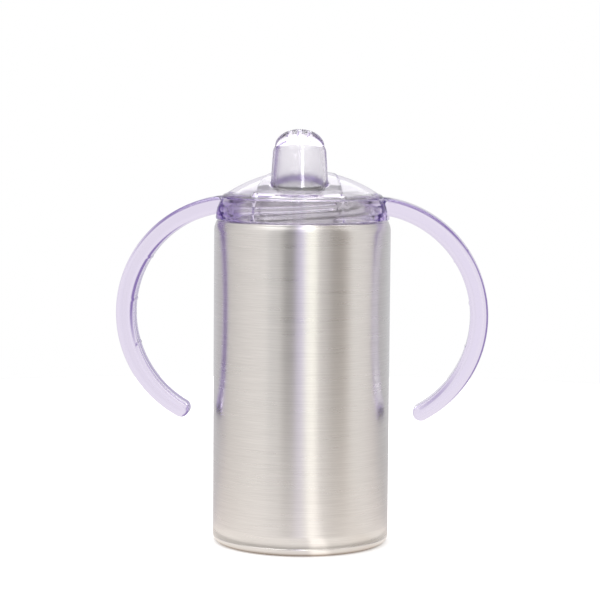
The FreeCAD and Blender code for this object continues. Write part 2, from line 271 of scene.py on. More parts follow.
def ridge_height(angle, z, start_z, start_angle):
    """0 to 1 on the crest of a two-start thread's ridges, at points given by angle and height."""
    height = np.zeros(np.broadcast(angle, z).shape)
    for start in range(2):
        along = ((angle - start_angle - math.pi * start) % (2 * math.pi)) / (2 * math.pi)
        for wrap in (0, -1):
            turn = along + wrap
            centre = start_z + LEAD * np.clip(turn, 0, THREAD_TURN)
            ends = (smoothstep(-THREAD_FADE, THREAD_FADE, turn)
                    * smoothstep(-THREAD_FADE, THREAD_FADE, THREAD_TURN - turn))
            across = np.abs(z - centre)
            ridge = ends * (1 - smoothstep(THREAD_CREST, THREAD_FOOT, across))
            height = np.maximum(height, ridge)
    return height


def displaced(rings, rows, depth, start_z, start_angle):
    """Pushes the rings in rows outwards (depth above 0) or inwards along a thread's ridges."""
    a = angles(len(rings[0]))
    for i in rows:
        ring = rings[i]
        push = depth * ridge_height(a, ring[:, 2], start_z, start_angle)
        ring[:, 0] += push * np.cos(a)
        ring[:, 1] += push * np.sin(a)
    return rings


# ---------------------------------------------------------------- the steel cup
def outer_shell_profile():
    """Outside of the shell from the base up to the neck, and the centre of the shoulder's round."""
    corner = (TAPER_R - SHOULDER_ROUND, SHOULDER_Z - SHOULDER_ROUND)
    points = [(BODY_R, BASE_ROUND)]
    straight = SHOULDER_Z - TAPER - BASE_ROUND
    points += [(BODY_R, BASE_ROUND + straight * k / 24) for k in range(1, 25)]
    points += arc_points(points[-1], (BODY_R - 0.25 * MM, SHOULDER_Z - TAPER / 2),
                         (TAPER_R, SHOULDER_Z - SHOULDER_ROUND), 10)
    turn = HALF_ROOT * SHOULDER_ROUND
    points += arc_points(points[-1], (corner[0] + turn, corner[1] + turn),
                         (corner[0], SHOULDER_Z), 8)
    points += [(NECK_R + 0.3 * MM, SHOULDER_Z), (NECK_R, SHOULDER_Z + 0.3 * MM)]
    return points, corner


def outer_shell():
    points, corner = outer_shell_profile()
    neck_low = len(points) - 1
    top = LIP_Z - SHEET / 2
    low = points[-1][1]
    points += [(NECK_R, low + (top - low) * k / 64) for k in range(1, 65)]
    neck_high = len(points) - 1
    lip_in = LINER_NECK_R
    points += arc_points(points[-1], (NECK_R - 0.09 * MM, LIP_Z - 0.09 * MM),
                         (NECK_R - SHEET / 2, LIP_Z), 4)
    points += [
        (lip_in, LIP_Z),
        (lip_in, LIP_Z - SHEET),
        (NECK_R - SHEET, LIP_Z - SHEET),
        (NECK_R - SHEET, SHOULDER_Z - SHEET),
        (corner[0], SHOULDER_Z - SHEET),
        (TAPER_R - SHEET, SHOULDER_Z - SHOULDER_ROUND),
        (BODY_R - SHEET, SHOULDER_Z - TAPER),
        (BODY_R - SHEET, BASE_ROUND),
    ]
    rings = turned_rings(points)
    displaced(rings, range(neck_low, neck_high + 1), THREAD_DEPTH, THREAD_Z, THREAD_START)
    return grid_piece("steel_outer_shell", rings, closed=True)


def outer_base():
    corner = BODY_R - BASE_ROUND
    inner_round = BASE_ROUND - SHEET
    port_r, dimple_r, rise = 0.8 * MM, 5.0 * MM, 1.0 * MM
    plate = RECESS_Z + SHEET
    points = [(BODY_R, BASE_ROUND)]
    points += arc_points(points[0], (corner + HALF_ROOT * BASE_ROUND,
                                     BASE_ROUND - HALF_ROOT * BASE_ROUND), (corner, 0), 14)
    points += softened([
        (STAND_IN_R, 0), (STAND_IN_R - 0.7 * MM, RECESS_Z), (dimple_r, RECESS_Z),
        (dimple_r - 1.4 * MM, RECESS_Z + rise), (port_r, RECESS_Z + rise),
        (port_r, plate + rise), (dimple_r - 1.6 * MM, plate + rise),
        (dimple_r - 0.2 * MM, plate), (STAND_IN_R - 0.3 * MM, plate),
        (STAND_IN_R + 0.3 * MM, SHEET), (corner, SHEET),
    ], [0.6 * MM] * 4 + [0.1 * MM] * 2 + [0.5 * MM] * 4 + [0.0])
    points += arc_points((corner, SHEET), (corner + HALF_ROOT * inner_round,
                                           BASE_ROUND - HALF_ROOT * inner_round),
                         (BODY_R - SHEET, BASE_ROUND), 8)
    return turned_piece("steel_outer_base", points, AROUND_PLAIN)


def inner_liner():
    bend_z = SHOULDER_Z - SHEET - 1.6 * MM
    bend_low = bend_z - 3.4 * MM
    low = LINER_LOW.z
    points = [(LINER_R, low), (LINER_R, bend_low)]
    points += arc_points(points[-1], (LINER_R - 1.4 * MM, bend_z - 0.7 * MM),
                         (LINER_NECK_R + 1.0 * MM, bend_z), 10)
    points += [(LINER_NECK_R, bend_z + 0.6 * MM), (LINER_NECK_R, LIP_Z)]
    inner = LINER_NECK_R - SHEET
    points += [(LINER_NECK_R - SHEET * 0.3, LIP_Z), (inner + SHEET * 0.2, LIP_Z - 0.05 * MM)]
    points += [(inner, LIP_Z - 0.3 * MM), (inner, bend_z + 0.2 * MM)]
    points += [(LINER_NECK_R + 0.4 * MM, bend_z - 0.7 * MM)]
    points += arc_points(points[-1], (LINER_R - 1.9 * MM, bend_z - 1.5 * MM),
                         (LINER_R - SHEET, bend_low), 10)
    points += [(LINER_R - SHEET, low)]
    return turned_piece("steel_inner_liner", points, AROUND_PLAIN)


def inner_base():
    corner = (LINER_R - LINER_ROUND, LINER_FLOOR_Z + LINER_ROUND)
    inner_round = LINER_ROUND - SHEET
    points = [(LINER_R, corner[1])]
    points += arc_points(points[0], (corner[0] + HALF_ROOT * LINER_ROUND,
                                     corner[1] - HALF_ROOT * LINER_ROUND),
                         (corner[0], LINER_FLOOR_Z), 12)
    points += [(AXIS_GAP, LINER_FLOOR_Z), (AXIS_GAP, LINER_FLOOR_Z + SHEET)]
    points += [(corner[0], LINER_FLOOR_Z + SHEET)]
    points += arc_points(points[-1], (corner[0] + HALF_ROOT * inner_round,
                                      corner[1] - HALF_ROOT * inner_round),
                         (LINER_R - SHEET, corner[1]), 10)
    return turned_piece("steel_inner_base", points, AROUND_PLAIN)


def base_cover():
    edge = COVER_HIGH.x
    profile = softened([(AXIS_GAP, COVER_LOW.z), (edge, COVER_LOW.z), (edge, COVER_HIGH.z),
                        (AXIS_GAP, COVER_HIGH.z)], [0, 0.2 * MM, 0.05 * MM, 0])
    return turned_piece("steel_base_cover", profile, AROUND_PLAIN)


# ---------------------------------------------------------------- the lid
def sphere_z(top_z, radius, r):
    """Height of a dome of this radius at the distance r from its axis."""
    return top_z - radius + np.sqrt(radius * radius - r * r)


def platform_mask(x, y):
    """1 on the raised front platform, 0 off it, with a narrow slope between."""
    t = (y - PLATFORM_FRONT_Y) / (PLATFORM_BACK_Y - PLATFORM_FRONT_Y)
    half = PLATFORM_FRONT_HALF + (PLATFORM_BACK_HALF - PLATFORM_FRONT_HALF) * t
    side = half - np.abs(x)
    reach = PLATFORM_END_Y - PLATFORM_BACK_Y
    back = np.clip(y - PLATFORM_BACK_Y, 0, None) / reach
    round_end = (1 - np.hypot(x / PLATFORM_BACK_HALF, back)) * reach
    inside = np.where(y > PLATFORM_BACK_Y, round_end, side)
    return smoothstep(*PLATFORM_SLOPE, inside)


def dome_z(x, y):
    r = np.hypot(x, y)
    plain = sphere_z(DOME_TOP_Z, DOME_R, r)
    raised = sphere_z(PLATFORM_TOP_Z, PLATFORM_R, r)
    return plain + (raised - plain) * platform_mask(x, y)


def spout_half_width(z):
    """Half width of the spout's outside: straight taper, then a shoulder up to the step."""
    straight = SPOUT_SHOULDER_HALF + (SPOUT_SHOULDER_Z - z) * SPOUT_TAPER
    over = np.clip((z - SPOUT_SHOULDER_Z) / SPOUT_SHOULDER_HEIGHT, 0, 1)
    shoulder = SPOUT_SHOULDER_HALF - SPOUT_SHOULDER_IN * over**2
    return np.where(z < SPOUT_SHOULDER_Z, straight, shoulder)


def oval_ring(a, half_width, half_depth, z):
    """Oval about the spout's own axis."""
    x = half_width * np.cos(a)
    y = SPOUT_Y + half_depth * np.sin(a)
    return np.stack([x, y, np.broadcast_to(z, a.shape)], 1)


def lid_rings():
    """Rings of the lid's whole surface: down the outside, under the skirt and up the inside."""
    a = angles()
    rings = []
    # the domed tip, from its pole down to the step
    tip = (SPOUT_TIP_HALF, SPOUT_TIP_HALF * SPOUT_DEPTH_RATIO)
    for k in range(1, 33):
        polar = QUARTER * k / 32
        rings.append(oval_ring(a, tip[0] * math.sin(polar), tip[1] * math.sin(polar),
                               SPOUT_STEP_Z + (SPOUT_TOP_Z - SPOUT_STEP_Z) * math.cos(polar)))
    # the spout's side, down to a fillet at its foot
    top_z = SPOUT_STEP_Z - 0.12 * MM
    foot_w = spout_half_width(150.0 * MM)
    foot = oval_ring(a, foot_w, foot_w * SPOUT_DEPTH_RATIO, 0.0)
    foot_z = dome_z(foot[:, 0], foot[:, 1]) + SPOUT_FILLET
    for k in range(41):
        t = (k / 40) ** 1.25
        z = top_z + (foot_z - top_z) * t
        w = spout_half_width(z)
        rings.append(oval_ring(a, w, w * SPOUT_DEPTH_RATIO, z))
    last = rings[-1]
    outward = np.stack([np.cos(a) * SPOUT_DEPTH_RATIO, np.sin(a)], 1)
    outward /= np.linalg.norm(outward, axis=1)[:, None]
    for k in range(1, 9):
        polar = QUARTER * k / 8
        step = SPOUT_FILLET * (1 - math.cos(polar))
        drop = SPOUT_FILLET * math.sin(polar)
        x = last[:, 0] + outward[:, 0] * step
        y = last[:, 1] + outward[:, 1] * step
        z = dome_z(x, y) + SPOUT_FILLET - drop
        rings.append(np.stack([x, y, z], 1))
    # the dome, from the spout's foot to the edge of the flange
    inner = rings[-1][:, :2]
    edge_x, edge_y = np.cos(a), np.sin(a)
    mask = platform_mask(PLATFORM_EDGE_R * edge_x, PLATFORM_EDGE_R * edge_y)
    edge_r = DOME_EDGE_R + (PLATFORM_EDGE_R - DOME_EDGE_R) * mask
    outer = np.stack([edge_r * edge_x, edge_r * edge_y], 1)
    for k in range(1, 113):
        t = k / 112
        xy = inner + (outer - inner) * t
        rings.append(np.column_stack([xy, dome_z(xy[:, 0], xy[:, 1])]))
    # the rounded edge down to the flange's underside
    plain_start = (DOME_EDGE_R, float(sphere_z(DOME_TOP_Z, DOME_R, DOME_EDGE_R)))
    raised_start = (PLATFORM_EDGE_R,
                    float(sphere_z(PLATFORM_TOP_Z, PLATFORM_R, PLATFORM_EDGE_R)))
    low = FLANGE_Z + 0.25 * MM
    plain = arc_points(plain_start, (FLANGE_R - 0.5 * MM, FLANGE_Z + 1.15 * MM),
                       (FLANGE_R, low), 14)
    raised = arc_points(raised_start, (PLATFORM_FRONT_R - 0.65 * MM, FLANGE_Z + 2.1 * MM),
                        (PLATFORM_FRONT_R, low), 14)
    for p, q in zip(plain, raised):
        r = p[0] + (q[0] - p[0]) * mask
        z = p[1] + (q[1] - p[1]) * mask
        rings.append(np.stack([r * edge_x, r * edge_y, z], 1))

    def add(r, z):
        rings.append(np.stack([r * edge_x, r * edge_y, np.full(AROUND, z)], 1))

    add(FLANGE_R - 0.25 * MM, FLANGE_Z)
    add(SKIRT_OUT_R + 0.3 * MM, FLANGE_Z)
    # the skirt's outside, with the snap lugs
    lug = np.zeros(AROUND)
    half_width = LUG_WIDTH / 2 + 0.1 * MM
    for k in range(LUGS):
        centre = math.radians(-90 + 360 * k / LUGS)
        off = np.abs((a - centre + math.pi) % (2 * math.pi) - math.pi) * SKIRT_OUT_R
        lug = np.maximum(lug, np.sqrt(np.clip(1 - (off / half_width) ** 2, 0, 1)))
    top, bottom = FLANGE_Z - 0.3 * MM, SKIRT_Z + 0.3 * MM
    for k in range(57):
        z = top + (bottom - top) * k / 56
        upright = float(1 - smoothstep(LUG_TOP_Z - 0.5 * MM, LUG_TOP_Z, z))
        hook = float(1 - smoothstep(HOOK_Z, HOOK_Z + 0.3 * MM, z))
        out = LUG_OUT * upright + (HOOK_OUT - LUG_OUT) * hook
        r = SKIRT_OUT_R + lug * out
        rings.append(np.stack([r * edge_x, r * edge_y, np.full(AROUND, z)], 1))
    add(SKIRT_OUT_R - 0.2 * MM, SKIRT_Z)
    add(SKIRT_IN_R + 0.3 * MM, SKIRT_Z)
    # the skirt's inside, with its thread
    low_row = len(rings)
    inside_low, inside_high = SKIRT_Z + 0.2 * MM, SEAT_Z - 0.25 * MM
    for k in range(61):
        add(SKIRT_IN_R, inside_low + (inside_high - inside_low) * k / 60)
    start = THREAD_START + math.pi / 2 + 2 * math.pi * LID_THREAD_LIFT / LEAD
    displaced(rings, range(low_row, len(rings)), -THREAD_DEPTH, THREAD_Z + LID_THREAD_LIFT, start)
    # the round between the skirt and the seat of the dome's inside, in millimetres
    for inwards, upwards in ((0.04, -0.08), (0.10, 0.06), (0.25, 0.25), (0.45, 0.45)):
        add(SKIRT_IN_R - inwards * MM, SEAT_Z + upwards * MM)
    # the inside of the dome, in to the spout's channel
    inner_r, inner_top_z = DOME_R - DOME_WALL, DOME_TOP_Z - DOME_WALL
    rim_r = SEAT_R - 0.15 * MM
    rim = np.stack([rim_r * edge_x, rim_r * edge_y], 1)
    wide, deep = CHANNEL_FOOT[0] + CHANNEL_ROUND, CHANNEL_FOOT[1] + CHANNEL_ROUND
    hole = oval_ring(a, wide, deep, 0.0)[:, :2]
    for k in range(41):
        xy = rim + (hole - rim) * k / 40
        z = sphere_z(inner_top_z, inner_r, np.hypot(xy[:, 0], xy[:, 1]))
        rings.append(np.column_stack([xy, z]))
    for k in range(1, 9):
        polar = QUARTER * k / 8
        back = CHANNEL_ROUND * (1 - math.sin(polar))
        xy = oval_ring(a, CHANNEL_FOOT[0] + back, CHANNEL_FOOT[1] + back, 0.0)[:, :2]
        dome = sphere_z(inner_top_z, inner_r, np.hypot(xy[:, 0], xy[:, 1]))
        rings.append(np.column_stack([xy, dome + CHANNEL_ROUND * (1 - math.cos(polar))]))
    # the spout's channel, up to its domed end
    mouth_z = rings[-1][:, 2]
    high_z = SPOUT_STEP_Z - 1.0 * MM
    for k in range(1, 21):
        z = mouth_z + (high_z - mouth_z) * k / 20
        up = np.clip((z - SPOUT_FOOT_Z) / (high_z - SPOUT_FOOT_Z), 0, 1)
        rings.append(oval_ring(a, CHANNEL_FOOT[0] + (CHANNEL_TOP[0] - CHANNEL_FOOT[0]) * up,
                               CHANNEL_FOOT[1] + (CHANNEL_TOP[1] - CHANNEL_FOOT[1]) * up, z))
    for k in range(1, 17):
        polar = QUARTER * (16 - k + 0.4) / 16.4
        z = high_z + (SPOUT_TOP_Z - SPOUT_TIP_WALL - high_z) * math.cos(polar)
        rings.append(oval_ring(a, CHANNEL_TOP[0] * math.sin(polar),
                               CHANNEL_TOP[1] * math.sin(polar), z))
    return rings


def bored(piece, centres, radius, low, high):
    """Cuts upright round holes through a piece."""
    a = angles(40)
    for x, y in centres:
        rings = [np.stack([x + radius * np.cos(a), y + radius * np.sin(a), np.full(40, z)], 1)
                 for z in (low, high)]
        drill = grid_piece("drill", rings, pole_first=True, pole_last=True)
        combine(piece, drill, "DIFFERENCE")
        bpy.data.objects.remove(drill)
    return piece


def combine(piece, other, operation):
    """Joins or cuts the piece's mesh with another piece's."""
    step = piece.modifiers.new(operation.lower(), "BOOLEAN")
    step.object = other
    step.operation = operation
    step.solver = "EXACT"
    bpy.context.view_layer.update()
    evaluated = piece.evaluated_get(bpy.context.evaluated_depsgraph_get())
    shape = bpy.data.meshes.new_from_object(evaluated)
    piece.modifiers.clear()
    piece.data = shape


def lid():
    piece = grid_piece("clear_lid", lid_rings(), pole_first=True, pole_last=True)
    centres = [(x, SPOUT_Y) for x in DRINK_HOLES_X]
    return bored(piece, centres, DRINK_HOLE_R, SPOUT_STEP_Z, SPOUT_TOP_Z + 1 * MM)


def lip_gasket():
    """Soft ring that fills the corner under the dome, rounded where it meets the cup's lip."""
    gap = 0.05 * MM
    in_r, out_r, low = 26.6 * MM, GASKET_HIGH.x, GASKET_LOW.z
    top, radius, shoulder = DOME_TOP_Z - DOME_WALL - gap, DOME_R - DOME_WALL, SEAT_R - gap
    corners = [(in_r, low + 0.4 * MM), (in_r + 0.4 * MM, low),
               ((in_r + out_r) / 2 + 0.7 * MM, low), (out_r, low + 0.6 * MM), (out_r, SEAT_Z)]
    rounds = [0.15 * MM, 0.15 * MM, 0.3 * MM, 0.3 * MM, 0.15 * MM]
    for k in range(13):
        r = shoulder + (in_r - shoulder) * k / 12
        corners.append((r, float(sphere_z(top, radius, r))))
        rounds.append(0.1 * MM if k in (0, 12) else 0.0)
    return turned_piece("silicone_gasket", softened(corners, rounds), AROUND_PLAIN)


# ---------------------------------------------------------------- the handle ring
def collar_rings():
    half_z = (RING_Z + RING_TOP_Z) / 2
    half_r = (RING_FOOT_R + RING_TOP_R) / 2 + RING_BULGE
    points = [(HOOK_POCKET_R + 0.2 * MM, RING_Z), (RING_FOOT_R - 0.7 * MM, RING_Z)]
    points += arc_points(points[-1], (RING_FOOT_R - 0.2 * MM, RING_Z + 0.2 * MM),
                         (RING_FOOT_R, RING_Z + 0.7 * MM), 8)
    points += arc_points(points[-1], (half_r, half_z),
                         (RING_TOP_R + 0.03 * MM, RING_TOP_Z - 0.3 * MM), 22)
    points += arc_points(points[-1], (RING_TOP_R - 0.1 * MM, RING_TOP_Z - 0.06 * MM),
                         (RING_TOP_R - 0.35 * MM, RING_TOP_Z), 5)
    points += [
        (RING_IN_R + 0.2 * MM, RING_TOP_Z), (RING_IN_R, RING_TOP_Z - 0.2 * MM),
        (RING_IN_R, HOOK_POCKET_Z + 0.6 * MM), (HOOK_POCKET_R, HOOK_POCKET_Z),
        (HOOK_POCKET_R, RING_Z + 0.2 * MM),
    ]
    return turned_rings(points)


def arm_section(half_thick, half_depth, corner, per_corner=9, flat=6):
    """Rounded rectangle as (across, depth) points."""
    corner = min(corner, half_thick * 0.999, half_depth * 0.999)
    made = []
    for quarter in range(4):
        sx = (1, -1, -1, 1)[quarter]
        sy = (1, 1, -1, -1)[quarter]
        for k in range(per_corner + 1):
            t = QUARTER * (quarter + k / per_corner)
            made.append((sx * (half_thick - corner) + corner * math.cos(t),
                         sy * (half_depth - corner) + corner * math.sin(t)))
        for k in range(1, flat):
            if quarter in (0, 2):
                made.append((sx * (half_thick - corner) * (1 - 2 * k / flat), sy * half_depth))
            else:
                made.append((sx * half_thick, sy * (half_depth - corner) * (1 - 2 * k / flat)))
    return np.array(made)


def arm(side):
    """One C handle, a swept bar with a rounded tip; side is 1 on the right, -1 on the left."""
    rings = []
    steps = 260

    def ring(angle, along, half_thick, half_depth, corner, swell=0.0):
        section = arm_section(half_thick, half_depth, corner)
        section[:, 0] -= swell * smoothstep(0.3, 0.95, -section[:, 0] / half_thick)
        radial = np.array([math.cos(angle), 0, math.sin(angle)])
        tangent = np.array([math.sin(angle), 0, -math.cos(angle)])
        centre = np.array([ARM_X, 0, ARM_Z]) + radial * ARM_R + tangent * along
        points = centre + section[:, :1] * radial + section[:, 1:] * np.array([0, 1.0, 0])
        points[:, 0] *= side
        rings.append(points)

    for k in range(steps + 1):
        along = k / steps
        deg = ARM_ROOT_DEG + (ARM_TIP_DEG - ARM_ROOT_DEG) * along
        swell = ARM_MARK_HEIGHT * sum(
            math.exp(-(((deg - mark) / ARM_MARK_HALF_DEG) ** 2)) for mark in ARM_MARKS_DEG)
        end_thick = ARM_ROOT_THICK if along < 0.5 else ARM_TIP_THICK
        thick = ARM_THICK + (end_thick - ARM_THICK) * (2 * along - 1) ** 2
        ring(math.radians(deg), 0, thick / 2, ARM_DEPTH / 2, ARM_ROUND, swell)
    for k in range(1, 13):
        polar = QUARTER * k / 12.4
        shrink = ARM_ROUND * (1 - math.cos(polar))
        ring(math.radians(ARM_TIP_DEG), ARM_TIP_THICK / 2 * math.sin(polar),
             ARM_TIP_THICK / 2 * math.cos(polar), ARM_DEPTH / 2 - shrink, ARM_ROUND)
    return grid_piece("arm", rings, pole_first=True, pole_last=True)


def handle_ring():
    """Collar and both handles, joined into one closed mesh."""
    piece = grid_piece("clear_handle_ring", collar_rings(), closed=True)
    core_r = RING_TOP_R - 0.05 * MM
    core = turned_piece("core", [(AXIS_GAP, RING_Z), (core_r, RING_Z),
                                 (core_r, SPOUT_TOP_Z), (AXIS_GAP, SPOUT_TOP_Z)])
    for side in (1, -1):
        handle = arm(side)
        combine(handle, core, "DIFFERENCE")
        combine(piece, handle, "UNION")
        bpy.data.objects.remove(handle)
    bpy.data.objects.remove(core)
    return piece


# ---------------------------------------------------------------- materials
def new_material(name):
    made = bpy.data.materials.new(name)
    made.use_nodes = True
    nodes = made.node_tree.nodes
    return made, nodes, made.node_tree.links, nodes["Principled BSDF"]


def add_node(nodes, kind, **values):
    """Adds a node and sets its sockets or settings by name."""
    node = nodes.new(kind)
    for key, value in values.items():
        if key in node.inputs:
            node.inputs[key].default_value = value
        else:
            setattr(node, key, value)
    return node


def streaks(nodes, links, along, across, detail=3.0):
    """Noise drawn out along horizontal lines: along is its length, across its thickness."""
    place = add_node(nodes, "ShaderNodeTexCoord")
    stretch = add_node(nodes, "ShaderNodeMapping")
    stretch.inputs["Scale"].default_value = (1 / along, 1 / along, 1 / across)
    links.new(place.outputs["Object"], stretch.inputs["Vector"])
    noise = add_node(nodes, "ShaderNodeTexNoise", Scale=1.0, Detail=detail, Roughness=0.6)
    links.new(stretch.outputs["Vector"], noise.inputs["Vector"])
    return noise


def ramp(nodes, links, source, low, high, at_low=0.3, at_high=0.7):
    """Goes from low to high as the source goes from at_low to at_high, and stays there past it."""
    node = add_node(nodes, "ShaderNodeMapRange")
    node.inputs["From Min"].default_value = at_low
    node.inputs["From Max"].default_value = at_high
    node.inputs["To Min"].default_value = low
    node.inputs["To Max"].default_value = high
    links.new(source, node.inputs["Value"])
    return node.outputs["Result"]


def colour_between(nodes, links, source, first, second):
    """Blends two colours by a noise value."""
    node = add_node(nodes, "ShaderNodeValToRGB")
    node.color_ramp.elements[0].position = 0.3
    node.color_ramp.elements[1].position = 0.7
    node.color_ramp.elements[0].color = (*first, 1)
    node.color_ramp.elements[1].color = (*second, 1)
    links.new(source, node.inputs["Fac"])
    return node.outputs["Color"]


def bump(nodes, links, source, distance, strength=1.0):
    node = add_node(nodes, "ShaderNodeBump", Strength=strength, Distance=distance)
    links.new(source, node.inputs["Height"])
    return node.outputs["Normal"]


def brushed_steel():
    """Steel brushed round the cup: fine horizontal lines, reflections drawn out upwards."""
    made, nodes, links, shader = new_material("brushed_steel")
    fine = streaks(nodes, links, 14 * MM, 0.16 * MM, 4.0)
    broad = streaks(nodes, links, 30 * MM, 2.5 * MM, 2.0)
    shader.inputs["Metallic"].default_value = 1.0
    shader.inputs["Anisotropic"].default_value = 0.85
    shader.inputs["Anisotropic Rotation"].default_value = 0.25
    colour = colour_between(nodes, links, fine.outputs["Fac"],
                            (0.625, 0.612, 0.598), (0.75, 0.737, 0.722))
    links.new(colour, shader.inputs["Base Color"])
    links.new(ramp(nodes, links, broad.outputs["Fac"], 0.265, 0.31), shader.inputs["Roughness"])
    links.new(bump(nodes, links, fine.outputs["Fac"], 0.012 * MM, 0.5), shader.inputs["Normal"])
    tangent = add_node(nodes, "ShaderNodeTangent", direction_type="RADIAL", axis="Z")
    links.new(tangent.outputs["Tangent"], shader.inputs["Tangent"])
    return made


def satin_steel(name, colour, roughness):
    """Pressed steel: soft blotches and fine grain."""
    made, nodes, links, shader = new_material(name)
    grain = streaks(nodes, links, 1.2 * MM, 1.2 * MM, 5.0)
    shader.inputs["Metallic"].default_value = 1.0
    darker = tuple(c * 0.9 for c in colour)
    links.new(colour_between(nodes, links, grain.outputs["Fac"], darker, colour),
              shader.inputs["Base Color"])
    links.new(ramp(nodes, links, grain.outputs["Fac"], roughness - 0.05, roughness + 0.06),
              shader.inputs["Roughness"])
    links.new(bump(nodes, links, grain.outputs["Fac"], 0.01 * MM, 0.5), shader.inputs["Normal"])
    return made


def spout_channel(nodes, links):
    """1 on the walls of the spout's channel, which are a little cloudy, 0 elsewhere."""
    wide, deep = 10.2 * MM, 6.2 * MM
    where = add_node(nodes, "ShaderNodeTexCoord")
    oval = add_node(nodes, "ShaderNodeVectorMath", operation="MULTIPLY_ADD")
    links.new(where.outputs["Object"], oval.inputs[0])
    oval.inputs[1].default_value = (1 / wide, 1 / deep, 0)
    oval.inputs[2].default_value = (0, -SPOUT_Y / deep, 0)
    length = add_node(nodes, "ShaderNodeVectorMath", operation="LENGTH")
    links.new(oval.outputs[0], length.inputs[0])
    height = add_node(nodes, "ShaderNodeSeparateXYZ")
    links.new(where.outputs["Object"], height.inputs["Vector"])
    both = add_node(nodes, "ShaderNodeMath", operation="MULTIPLY")
    links.new(ramp(nodes, links, length.outputs["Value"], 1.0, 0.0, 0.985, 1.015), both.inputs[0])
    links.new(ramp(nodes, links, height.outputs["Z"], 1.0, 0.0, 163 * MM, 165 * MM),
              both.inputs[1])
    return both.outputs[0]


def clear_plastic():
    """Polished lilac-tinted clear plastic; the tint builds up with thickness."""
    made, nodes, links, shader = new_material("clear_lilac_plastic")
    waves = streaks(nodes, links, 9 * MM, 9 * MM, 2.0)
    shader.inputs["Base Color"].default_value = (1.0, 1.0, 1.0, 1)
    shader.inputs["Transmission Weight"].default_value = 1.0
    shader.inputs["IOR"].default_value = 1.5
    cloudy = add_node(nodes, "ShaderNodeMath", operation="MULTIPLY_ADD")
    links.new(spout_channel(nodes, links), cloudy.inputs[0])
    cloudy.inputs[1].default_value = 0.42
    links.new(ramp(nodes, links, waves.outputs["Fac"], 0.0, 0.03), cloudy.inputs[2])
    links.new(cloudy.outputs[0], shader.inputs["Roughness"])
    links.new(bump(nodes, links, waves.outputs["Fac"], 0.03 * MM, 0.35), shader.inputs["Normal"])
    inside = add_node(nodes, "ShaderNodeVolumeAbsorption")
    inside.inputs["Color"].default_value = (0.32, 0.10, 0.64, 1)
    inside.inputs["Density"].default_value = 24.0
    output = nodes["Material Output"]
    links.new(inside.outputs["Volume"], output.inputs["Volume"])
    return made


def silicone():
    made, nodes, links, shader = new_material("clear_silicone")
    cloud = streaks(nodes, links, 2 * MM, 2 * MM, 3.0)
    colour = colour_between(nodes, links, cloud.outputs["Fac"],
                            (0.80, 0.79, 0.80), (0.90, 0.89, 0.90))
    links.new(colour, shader.inputs["Base Color"])
    shader.inputs["Transmission Weight"].default_value = 0.4
    shader.inputs["Roughness"].default_value = 0.45
    shader.inputs["IOR"].default_value = 1.41
    links.new(bump(nodes, links, cloud.outputs["Fac"], 0.02 * MM, 0.4), shader.inputs["Normal"])
    return made


def getter_alloy():
    made, nodes, links, shader = new_material("getter_alloy")
    grain = streaks(nodes, links, 0.3 * MM, 0.3 * MM, 5.0)
    colour = colour_between(nodes, links, grain.outputs["Fac"],
                            (0.05, 0.05, 0.055), (0.11, 0.11, 0.115))
    links.new(colour, shader.inputs["Base Color"])
    shader.inputs["Metallic"].default_value = 0.6
    shader.inputs["Roughness"].default_value = 0.75
    links.new(bump(nodes, links, grain.outputs["Fac"], 0.05 * MM, 0.8), shader.inputs["Normal"])
    return made


def seal_glass():
    made, nodes, links, shader = new_material("seal_glass")
    cloud = streaks(nodes, links, 0.8 * MM, 0.8 * MM, 3.0)
    colour = colour_between(nodes, links, cloud.outputs["Fac"],
                            (0.03, 0.05, 0.045), (0.07, 0.10, 0.09))
    links.new(colour, shader.inputs["Base Color"])
    shader.inputs["Roughness"].default_value = 0.12
    links.new(bump(nodes, links, cloud.outputs["Fac"], 0.02 * MM, 0.3), shader.inputs["Normal"])
    return made


def paint(piece, material):
    piece.data.materials.clear()
    piece.data.materials.append(material)


# ---------------------------------------------------------------- studio
FLOOR_REACH = 0.55
# The floor as a mirror sees it, painted light: a dark painted contact shadow under the cup's base
# edge, a warm painted glow beside it, then painted lit floor fading outwards. Share of its radius,
# and colour.
FLOOR_PAINTED_SHADOW_AND_LIGHT_RINGS = (
    # painted contact shadow under the base edge
    (0.0612, (0.12, 0.08, 0.06)),
    (0.0645, (0.60, 0.42, 0.28)),
    (0.0667, (1.16, 1.10, 1.04)),
    (0.1400, (1.10, 1.03, 0.98)),
    (0.3200, (1.02, 0.97, 0.92)),
    (0.9000, (0.86, 0.83, 0.80)),
)
# And how that painted light changes round the object, with a painted reflection of a bright strip
# light at 13 to 21 degrees and painted shade behind: degrees from the front towards +X, and colour.
FLOOR_PAINTED_LIGHT_AND_SHADE_BANDS = (
    (-180, (0.66, 0.68, 0.74)),
    (-128, (0.68, 0.68, 0.72)),
    (-104, (0.92, 0.90, 0.90)),
    (-60, (1.04, 1.04, 1.04)),
    (9, (0.98, 0.98, 1.00)),
    # painted reflection of a strip light on the floor
    (13, (1.42, 1.42, 1.42)),
    (21, (1.42, 1.42, 1.42)),
    (26, (1.04, 1.04, 1.04)),
    (60, (0.94, 0.92, 0.90)),
    (80, (1.00, 1.00, 1.00)),
    (104, (0.92, 0.90, 0.90)),
    (128, (0.68, 0.68, 0.70)),
    (180, (0.66, 0.68, 0.74)),
)


